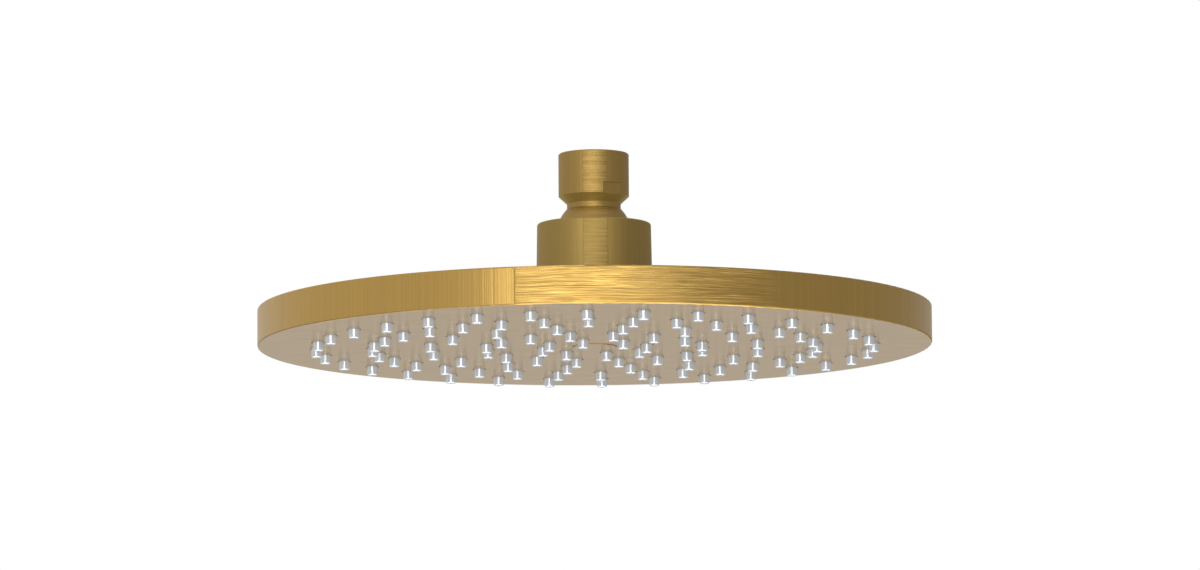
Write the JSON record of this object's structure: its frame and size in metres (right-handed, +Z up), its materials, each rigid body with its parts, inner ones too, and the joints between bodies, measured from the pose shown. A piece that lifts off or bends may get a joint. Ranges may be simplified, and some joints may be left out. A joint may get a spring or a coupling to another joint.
{
  "type": "shower head",
  "caption": "Round overhead rain shower head on a ball swivel, with soft nozzles in rings and a female pipe thread inlet.",
  "frame": {"origin": "centre of the mouth of the inlet thread, on the top end face of the stem", "axes": "+Z up along the stem, out of the inlet mouth; the spray leaves along -Z; -Y is the side the picture shows; the spray face is level at rest"},
  "size_m": [0.25, 0.25, 0.0752],
  "materials": {
    "brushed_gold": "brushed, gold coloured, satin",
    "raw_brass": "turned, bare",
    "steel": "stainless, plain",
    "silicone": "milky, soft, slightly glossy",
    "black_rubber": "matt black",
    "white_plastic": "natural white, smooth",
    "grey_plastic": "moulded grey"
  },
  "bodies": {
    "inlet": {"inlet_stem": "brushed_gold", "inlet_washer": "black_rubber", "filter_screen": "steel", "flow_regulator": "white_plastic", "regulator_seal": "black_rubber"},
    "seat": {"ball_seat": "black_rubber"},
    "ring": {"friction_ring": "white_plastic"},
    "head": {"swivel_nut": "brushed_gold", "spigot": "raw_brass", "spigot_gasket": "black_rubber", "top_cover": "brushed_gold", "lock_washer": "steel", "lock_nut": "raw_brass", "screw_anchor": "raw_brass", "rim_seal": "black_rubber", "spray_pan": "brushed_gold", "nozzle_mat": "silicone", "backing_plate": "grey_plastic", "plate_screws": "steel", "centre_screw": "steel", "screw_seal": "black_rubber", "centre_cap": "brushed_gold", "cap_seal": "black_rubber"}
  },
  "joints": [
    {"name": "tilt_fore_aft", "type": "hinge", "parent": "inlet", "child": "seat", "pos_m": [0, 0, -0.0305], "axis": [1, 0, 0], "range_deg": [-15, 15]},
    {"name": "tilt_sideways", "type": "hinge", "parent": "seat", "child": "ring", "pos_m": [0, 0, -0.0305], "axis": [0, 1, 0], "range_deg": [-15, 15]},
    {"name": "head_turn", "type": "hinge", "parent": "ring", "child": "head", "pos_m": [0, 0, -0.0305], "axis": [0, 0, 1], "continuous": true}
  ]
}
